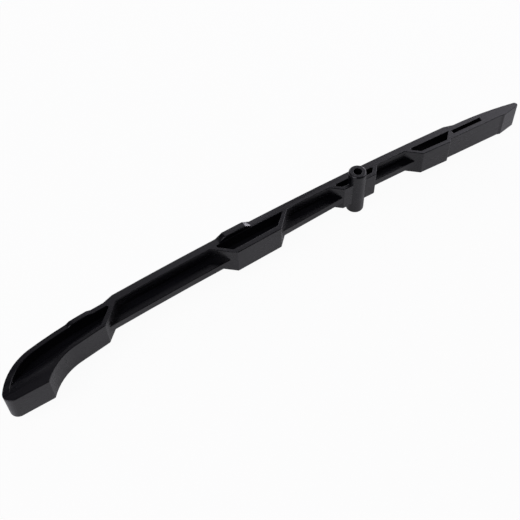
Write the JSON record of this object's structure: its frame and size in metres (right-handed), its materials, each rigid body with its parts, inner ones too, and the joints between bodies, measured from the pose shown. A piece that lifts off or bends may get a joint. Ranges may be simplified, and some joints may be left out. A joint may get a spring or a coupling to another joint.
{
  "type": "timing chain guide",
  "caption": "Long curved plastic rail that guides an engine's timing chain along its sliding face, with hollow blocks, a hooked end and a bored boss for its fixing bolt.",
  "frame": {"origin": "axis of the bolt bore at the lower end of the boss, where the boss rests on the engine block", "axes": "+X along the rail from the hook to the tip, +Y toward the chain, +Z along the bolt bore, away from the engine block"},
  "size_m": [0.437, 0.0396, 0.0393],
  "materials": {
    "black_nylon": "satin, as moulded"
  },
  "bodies": {
    "root": {"guide_rail": "black_nylon"}
  },
  "joints": []
}
